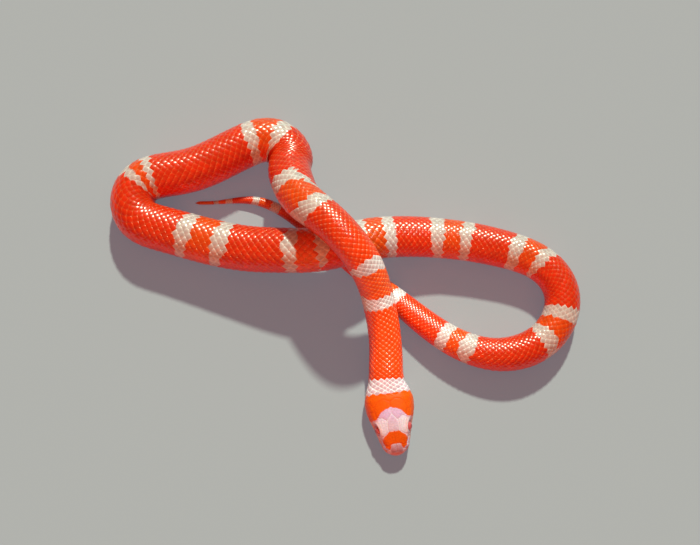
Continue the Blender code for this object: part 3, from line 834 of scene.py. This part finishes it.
def row_places(s):
    """The angle of each row's middle, 0 to 11, at each distance, in degrees."""
    share = np.stack([row_share(row, s) for row in range(ROWS)], -1)
    gaps = np.diff(ROW_ANGLES) * (share[..., 1:] + share[..., :-1]) / 2.0
    reach = np.concatenate([np.zeros(s.shape + (1,)), np.cumsum(gaps, -1)], -1)
    reach = reach / reach[..., -1:] * ROW_ANGLES[-1]
    nape = 1.0 - smooth_step((s - 19.0) / 6.0)
    return reach * (1.0 - 0.36 * nape[..., None] * np.exp(-((reach / 38.0) ** 2)))


def one_scale(name, sides, rings, power, half_long, half_wide, shape, foot):
    """One plate as an object, in units of scale lengths and rows: domed above, closed below."""
    turn = np.arange(sides) * 2.0 * math.pi / sides
    cosine, sine = np.cos(turn), np.sin(turn)
    size = (np.abs(cosine) ** power + np.abs(sine) ** power) ** (-1.0 / power)
    outline = np.stack([half_long * size * cosine, half_wide * size * sine], 1)
    points = [(0.0, 0.0, shape(0.0, 0.0))]
    rim = [0.0]
    for ring in rings:
        points += [(x * ring, y * ring, shape(ring, x * ring / half_long)) for x, y in outline]
        rim += [ring] * sides
    points += [(x * 0.94, y * 0.94, foot) for x, y in outline]
    rim += [1.2] * sides
    foot_ring = 1 + len(rings) * sides
    faces = [tuple(foot_ring + i for i in reversed(range(sides)))]
    faces += [(0, 1 + i, 1 + (i + 1) % sides) for i in range(sides)]
    for ring in range(len(rings)):
        a, b = 1 + ring * sides, 1 + (ring + 1) * sides
        faces += [(a + i, b + i, b + (i + 1) % sides, a + (i + 1) % sides) for i in range(sides)]
    mesh = bpy.data.meshes.new(name)
    mesh.from_pydata(points, [], faces)
    mesh.shade_smooth()
    attribute = mesh.attributes.new("rim", "FLOAT", "POINT")
    attribute.data.foreach_set("value", rim)
    return add_object(name, mesh)


def laying_tree():
    """Geometry nodes that stand one plate on each root, each a little unlike the next."""
    tree = bpy.data.node_groups.new("lay plates on their roots", "GeometryNodeTree")
    face = tree.interface
    face.new_socket("Geometry", in_out="INPUT", socket_type="NodeSocketGeometry")
    sockets = {}
    for name, kind in (("Plate", "Object"), ("Length", "Float"), ("Width", "Float"), ("Height", "Float"),
                       ("Unevenness", "Float"), ("Seed", "Int"), ("Finish", "Material")):
        sockets[name] = face.new_socket(name, in_out="INPUT", socket_type="NodeSocket" + kind).identifier
    face.new_socket("Geometry", in_out="OUTPUT", socket_type="NodeSocketGeometry")
    nodes, links = tree.nodes, tree.links

    def step(kind, *wires, **settings):
        """A node with its settings, fed by wires of (output, name or number of the input)."""
        added = nodes.new(kind)
        for setting, value in settings.items():
            setattr(added, setting, value)
        for output, socket in wires:
            links.new(output, added.inputs[socket])
        return added

    given = step("NodeGroupInput").outputs
    made = step("NodeGroupOutput")
    plate = step("GeometryNodeObjectInfo", (given["Plate"], "Object"))
    low = step("ShaderNodeMath", (given["Unevenness"], 1), operation="SUBTRACT")
    high = step("ShaderNodeMath", (given["Unevenness"], 1), operation="ADD")
    set_inputs(low, {0: 1.0})
    set_inputs(high, {0: 1.0})
    uneven = step("FunctionNodeRandomValue", (low.outputs[0], 2), (high.outputs[0], 3),
                  (given["Seed"], "Seed"), data_type="FLOAT")
    taller = step("ShaderNodeMath", (given["Height"], 0), (uneven.outputs[1], 1), operation="MULTIPLY")
    size = step("ShaderNodeCombineXYZ", (given["Length"], "X"), (given["Width"], "Y"),
                (taller.outputs[0], "Z"))
    stand = step("GeometryNodeInstanceOnPoints", (given["Geometry"], "Points"),
                 (plate.outputs["Geometry"], "Instance"), (size.outputs["Vector"], "Scale"))
    tone = step("FunctionNodeRandomValue", (given["Seed"], "Seed"), data_type="FLOAT")
    keep = step("GeometryNodeStoreNamedAttribute", (stand.outputs["Instances"], "Geometry"),
                (tone.outputs[1], "Value"), data_type="FLOAT", domain="INSTANCE")
    set_inputs(keep, {"Name": "tone"})
    real = step("GeometryNodeRealizeInstances", (keep.outputs["Geometry"], "Geometry"))
    coat = step("GeometryNodeSetMaterial", (real.outputs["Geometry"], "Geometry"),
                (given["Finish"], "Material"))
    links.new(coat.outputs["Geometry"], made.inputs["Geometry"])
    return tree, sockets


plate_tree, plate_sockets = laying_tree()


def lay_plates(name, plate, roots, finish, seed, unevenness=0.12):
    """Plates on roots given as (count of scales, row), as one flat mesh still to be wrapped."""
    bed_mesh = bpy.data.meshes.new(name + "_bed")
    bed_mesh.from_pydata([(count, row, 0.0) for count, row in roots], [], [])
    for attribute, column in (("root_count", 0), ("root_row", 1)):
        kept = bed_mesh.attributes.new(attribute, "FLOAT", "POINT")
        kept.data.foreach_set("value", np.array(roots, np.float32)[:, column].copy())
    bed = add_object(name + "_bed", bed_mesh)
    laying = bed.modifiers.new("plates", "NODES")
    laying.node_group = plate_tree
    values = {"Plate": plate, "Length": 1.0, "Width": 1.0, "Height": 1.0, "Unevenness": unevenness,
              "Seed": seed, "Finish": finish}
    for socket, value in values.items():
        laying[plate_sockets[socket]] = value
    graph = bpy.context.evaluated_depsgraph_get()
    mesh = bpy.data.meshes.new_from_object(bed.evaluated_get(graph))
    mesh.name = name
    bpy.data.objects.remove(bed)
    return mesh


def read_plates(mesh):
    """The points of flat plates, and the count, row, tone and rim that each point carries."""
    flat = np.zeros(len(mesh.vertices) * 3, np.float32)
    mesh.vertices.foreach_get("co", flat)
    read = [flat.astype(float).reshape(-1, 3)]
    for attribute in ("root_count", "root_row", "tone", "rim"):
        values = np.zeros(len(mesh.vertices), np.float32)
        mesh.attributes[attribute].data.foreach_get("value", values)
        read.append(values.astype(float))
    return read


def move_points(mesh, points):
    """Moves a mesh's points to places in millimetres."""
    mesh.vertices.foreach_set("co", (points * MM).astype(np.float32).ravel())


def map_along(count, reach, shrink):
    """The bake map's first number: the count of scales, each plate shrunk about its root."""
    low, high = count.min() - 1.0, count.max() + 1.0
    return (count + (reach - count) * shrink - low) / (high - low)


def add_piece(name, mesh):
    """A finished piece of the coat, riding on the one body."""
    mesh.shade_smooth()
    for attribute in ("root_count", "root_row", "tone", "rim"):
        if attribute in mesh.attributes:
            mesh.attributes.remove(mesh.attributes[attribute])
    piece = add_object(name, mesh)
    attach(piece, "root")


SCALE_HALF_LONG = 0.56
SCALE_HALF_WIDE = 0.90
SCALE_RINGS = (0.45, 0.78, 0.88, 1.0)
SCALE_DOME = 0.12
SCALE_TILT = 0.07
SCALE_BASE = 0.01
SCALE_DROOP = 0.09


def scale_height(ring, along):
    """A plate's height over the skin: domed, and tilted so that its rear edge stands proud."""
    droop = SCALE_DROOP * max(along, 0.0) ** 2
    return SCALE_BASE + SCALE_TILT * along + SCALE_DOME * (1.0 - ring ** 2) - droop


one_body_scale = one_scale("one body scale", 12, SCALE_RINGS, 1.5, SCALE_HALF_LONG, SCALE_HALF_WIDE,
                           scale_height, -0.08)

dorsal_roots = []
for row in range(2 - ROWS, ROWS - 1):
    stagger = 0.5 if row % 2 else 0.0
    for count in np.arange(0, int(fine_count[-1])) + stagger:
        s = float(distance_of(count))
        own = float(row_places(np.array([s]))[0, abs(row)])
        if s > SCALES_END or s < float(through(SCALES_BEGIN, own)) + 0.3 * float(through(PITCHES, s)):
            continue
        if float(row_share(abs(row), np.array([s]))[0]) < 0.5:
            continue
        dorsal_roots.append((count, row))
dorsal_roots = np.array(dorsal_roots)
scale_finish = finish_material("glossy scales", 0.30, 700.0, 5200.0, 0.0, 0.0)
scale_gloss = scale_finish.node_tree.nodes["Principled BSDF"]
set_inputs(scale_gloss, {"Coat Weight": 0.5, "Coat Roughness": 0.18})


def wrap_scales(mesh):
    """Bends flat plates round the body, colours them by ring and gives them their bake map."""
    flat, count, row, tone, rim = read_plates(mesh)
    side = np.where(row < 0, -1.0, 1.0)
    own = np.abs(row).astype(int)
    s = distance_of(flat[:, 0])
    root_s = distance_of(count)
    places = row_places(s)
    live = np.stack([row_share(number, root_s) >= 0.5 for number in range(ROWS)], -1)
    outer, inner = np.full(len(s), ROWS - 1), np.zeros(len(s), int)
    for number in range(ROWS - 1, 0, -1):
        outer = np.where(live[:, number] & (number > own), number, outer)
    for number in range(0, ROWS - 1):
        inner = np.where(live[:, number] & (number < own), number, inner)
    rows = np.arange(len(s))
    middle = places[rows, own]
    step = (flat[:, 1] - row) * side
    gap_out = places[rows, outer] - middle
    gap_in = np.where(own == 0, places[rows, outer], middle - places[rows, inner])
    angle = np.radians(side * (middle + np.where(step > 0, step * gap_out, step * gap_in)))
    small = np.clip(through(PITCHES, root_s) / 1.85, 0.35, 1.0)
    behind, before = place(*section(s + 0.2, angle)), place(*section(s - 0.2, angle))
    squeeze = np.clip(norm(behind - before, axis=1) / 0.4, 0.35, 1.15)
    lift = flat[:, 2] * small * squeeze - SCALE_DEPTH
    points, _ = on_snake(s, angle, lift)
    move_points(mesh, points)
    root_angle = np.radians(side * row_places(root_s)[rows, own])
    waver = (tone - 0.5) * through(PITCHES, root_s) * 0.25
    red, orange = ring_at(root_s + waver + (s - root_s) * 0.35, root_angle)
    rim_share = smooth_step((rim - 0.78) / 0.14)
    along = (flat[:, 0] - count) / SCALE_HALF_LONG
    aside = np.abs(flat[:, 1] - row) / SCALE_HALF_WIDE
    tip = smooth_step((along - 0.55) / 0.35) * smooth_step((0.58 - aside) / 0.35)
    tip = tip * (0.70 - 0.5 * smooth_step((root_s - 60.0) / 40.0))
    nape = 1.0 - smooth_step((root_s - 22.0) / 2.0)
    pale_rim = smooth_step((rim - 0.62) / 0.24)
    white = mixed(mixed(WHITE, NAPE, nape), mixed(WHITE_RIM, NAPE_RIM, nape), pale_rim)
    neck = 1.0 - smooth_step((root_s - 40.0) / 50.0)
    reds = mixed(mixed(RED, NECK_RED, neck), RED_RIM, rim_share * (1.0 - 0.5 * neck))
    oranges = mixed(mixed(ORANGE, ORANGE_RIM, rim_share), ORANGE_TIP, tip * 0.6)
    colour = mixed(mixed(white, mixed(reds, RED_TIP, tip), red), oranges, orange)
    # Painted shade: the plates darken and redden down both sides.
    colour = painted_flank_shade(colour, angle, red + orange)
    colour = colour * (0.93 + 0.14 * tone)[:, None]
    on_band = head_colours(root_s * 0.4 + s * 0.6, root_angle * 0.4 + angle * 0.6, np.full(len(s), 9.0))
    colour = mixed(colour, mixed(on_band, on_band * 0.9 + 0.05, rim_share), root_s < SHIELDS_END)
    paint(mesh, colour)
    shrink = np.where(rim > 1.1, 0.92, 0.80)
    v = (row + (flat[:, 1] - row) * shrink + ROWS - 0.8) / (2.0 * ROWS - 1.6)
    bake_map(mesh, map_along(count, flat[:, 0], shrink), v, wraps=False)


SCALE_PIECES = [
    ("scales_neck", 0.0, 92.0, 3), ("scales_front", 92.0, 172.0, 5), ("scales_rear", 172.0, 262.0, 7),
    ("scales_hind", 262.0, 335.0, 9), ("scales_tail", 335.0, 500.0, 17),
]
root_distance = distance_of(dorsal_roots[:, 0])
for name, start, end, seed in SCALE_PIECES:
    chosen = dorsal_roots[(root_distance >= start) & (root_distance < end)]
    mesh = lay_plates(name, one_body_scale, chosen, scale_finish, seed)
    wrap_scales(mesh)
    add_piece(name, mesh)

# The belly scutes. One broad plate crosses the belly for each row of scales, its rear edge over the
# next. The last whole one covers the vent, and the plates are in pairs behind it. Small scales in
# five rows cover the throat before the first.
VENT = 352.0
THROAT = 17.5
CHIN_END = 9.8
SCUTE_EDGE = 131.0
belly_finish = finish_material("belly scutes", 0.30, 500.0, 4200.0, 0.08, 0.0)


def scute_height(ring, along):
    return 0.03 + 0.05 * along + 0.03 * (1.0 - ring ** 4)


one_scute = one_scale("one scute", 20, (0.55, 0.85, 1.0), 3.2, 0.56, 0.98, scute_height, -0.07)
first_scute = math.ceil(float(count_of(THROAT)))
vent_count = math.floor(float(count_of(VENT)))
last_count = math.floor(float(count_of(SCALES_END)))
scute_roots = [(float(count), 0.0) for count in range(first_scute, vent_count + 1)]
tail_roots = [(count + (0.0 if flank > 0 else 0.5), flank) for count in range(vent_count + 1, last_count)
              for flank in (-1.0, 1.0)]
throat_roots = [(float(count) + (row % 2) * 0.5, float(row)) for row in range(-2, 3)
                for count in range(math.ceil(float(count_of(CHIN_END))), first_scute)]


def wrap_scutes(mesh, paired, row_wide):
    """Bends flat plates under the belly, so many degrees a row. A pair meets on the middle line."""
    flat, count, row, tone, rim = read_plates(mesh)
    s = distance_of(flat[:, 0])
    if paired:
        turned = 180.0 - row * row_wide * 0.5 - (flat[:, 1] - row) * row_wide * 0.52
    else:
        turned = 180.0 - flat[:, 1] * row_wide
    angle = np.radians(turned)
    small = np.clip(through(PITCHES, s) / 1.85, 0.35, 1.0)
    points, _ = on_snake(s, angle, flat[:, 2] * small - SCALE_DEPTH)
    points[:, 2] = np.maximum(points[:, 2], 0.0)
    move_points(mesh, points)
    red, orange = ring_at(distance_of(count), np.full(len(s), math.pi))
    edge = smooth_step((np.abs(turned - 180.0) - 12.0) / 34.0)
    rim_share = smooth_step((rim - 0.6) / 0.4)
    colour = mixed(mixed(CREAM * 0.92, CREAM, rim_share), RED_RIM, red * (0.25 + 0.65 * edge))
    colour = mixed(colour, ORANGE_RIM, orange * (0.25 + 0.65 * edge))
    paint(mesh, colour * (0.95 + 0.10 * tone)[:, None])
    v = 0.5 + flat[:, 1] * 0.48 / np.abs(flat[:, 1]).max()
    bake_map(mesh, map_along(count, flat[:, 0], 0.85), v, wraps=False)


BELLY_PIECES = [
    ("belly_scutes", one_scute, scute_roots, False, 180.0 - SCUTE_EDGE, 11),
    ("tail_scutes", one_scute, tail_roots, True, 180.0 - SCUTE_EDGE, 13),
    ("throat_scales", one_body_scale, throat_roots, False, 13.0, 15),
]
for name, plate, roots, paired, row_wide, seed in BELLY_PIECES:
    mesh = lay_plates(name, plate, roots, belly_finish, seed)
    wrap_scutes(mesh, paired, row_wide)
    add_piece(name, mesh)
bpy.data.objects.remove(one_scute)
bpy.data.objects.remove(one_body_scale)
